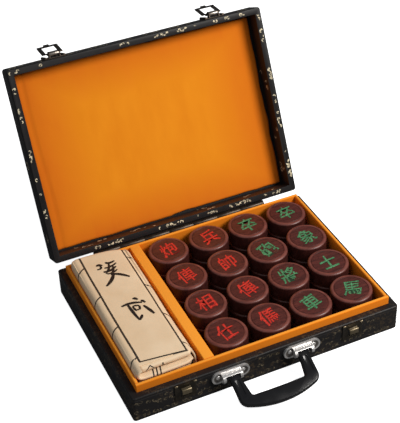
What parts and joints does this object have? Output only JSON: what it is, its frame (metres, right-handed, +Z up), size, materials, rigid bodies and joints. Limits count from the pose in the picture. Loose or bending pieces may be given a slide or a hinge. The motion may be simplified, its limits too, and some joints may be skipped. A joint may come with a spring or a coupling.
{
  "type": "board game case",
  "caption": "Open carrying case for a Chinese chess set, with a hinged lid, draw latches, a folding handle, wooden pieces and a folded board.",
  "frame": {"origin": "centre of the case's flat underside", "axes": "+X to the right, +Y to the back, where the hinge is, +Z up; the handle and the catches are on the front, which faces -Y"},
  "size_m": [0.31, 0.4078, 0.2447],
  "materials": {
    "covering": "wooden frame wrapped in printed black leatherette",
    "board_wood": "thin board, covered",
    "lining_board": "orange velvet paper over board",
    "lining_cloth": "orange velvet paper",
    "piece_wood": "stained and waxed",
    "board_leather": "cream imitation leather, printed",
    "dark_metal": "dark bronze",
    "nickel": "nickel plated",
    "chrome": "polished",
    "grip_plastic": "smooth black"
  },
  "bodies": {
    "case": {"base_bottom": "board_wood", "base_frame": "covering", "bracket_screws": "chrome", "catch_left": "nickel", "catch_right": "nickel", "divider": "lining_board", "floor_lining_board": "lining_cloth", "floor_lining_pieces": "lining_cloth", "folded_board": "board_leather", "green_advisors": "piece_wood", "green_cannons": "piece_wood", "green_chariots": "piece_wood", "green_elephants": "piece_wood", "green_general": "piece_wood", "green_horses": "piece_wood", "green_soldiers": "piece_wood", "handle_bracket_left": "chrome", "handle_bracket_right": "chrome", "hinge_leaf_base": "dark_metal", "hinge_pin": "dark_metal", "hinge_screws_base": "dark_metal", "lining_back": "lining_board", "lining_front": "lining_board", "lining_left": "lining_board", "lining_right": "lining_board", "red_advisors": "piece_wood", "red_cannons": "piece_wood", "red_chariots": "piece_wood", "red_elephants": "piece_wood", "red_general": "piece_wood", "red_horses": "piece_wood", "red_soldiers": "piece_wood"},
    "lid": {"lid_frame": "covering", "lid_board": "board_wood", "lid_pad": "lining_cloth", "hinge_leaf_lid": "dark_metal", "hinge_screws_lid": "dark_metal", "latch_plate_left": "nickel", "lever_pin_left": "nickel", "latch_plate_right": "nickel", "lever_pin_right": "nickel"},
    "handle": {"handle_grip": "grip_plastic"},
    "lever_left": {"latch_lever_left": "nickel"},
    "loop_left": {"latch_loop_left": "dark_metal"},
    "lever_right": {"latch_lever_right": "nickel"},
    "loop_right": {"latch_loop_right": "dark_metal"}
  },
  "joints": [
    {"name": "lid_hinge", "type": "hinge", "parent": "case", "child": "lid", "pos_m": [0, 0.1164, 0.0322], "axis": [-1, 0, 0], "range_deg": [-115.4, 0]},
    {"name": "handle_pivot", "type": "hinge", "parent": "case", "child": "handle", "pos_m": [-0.0055, -0.1165, 0.021], "axis": [-1, 0, 0], "range_deg": [-62, 33]},
    {"name": "latch_lever_left", "type": "hinge", "parent": "lid", "child": "lever_left", "pos_m": [-0.0975, 0.22097, 0.24147], "axis": [1, 0, 0], "range_deg": [0, 110]},
    {"name": "latch_loop_left", "type": "hinge", "parent": "lever_left", "child": "loop_left", "pos_m": [-0.0975, 0.22607, 0.23939], "axis": [-1, 0, 0], "range_deg": [-166.15, 30]},
    {"name": "latch_lever_right", "type": "hinge", "parent": "lid", "child": "lever_right", "pos_m": [0.0975, 0.22097, 0.24147], "axis": [1, 0, 0], "range_deg": [0, 110]},
    {"name": "latch_loop_right", "type": "hinge", "parent": "lever_right", "child": "loop_right", "pos_m": [0.0975, 0.22607, 0.23939], "axis": [-1, 0, 0], "range_deg": [-166.15, 30]}
  ]
}
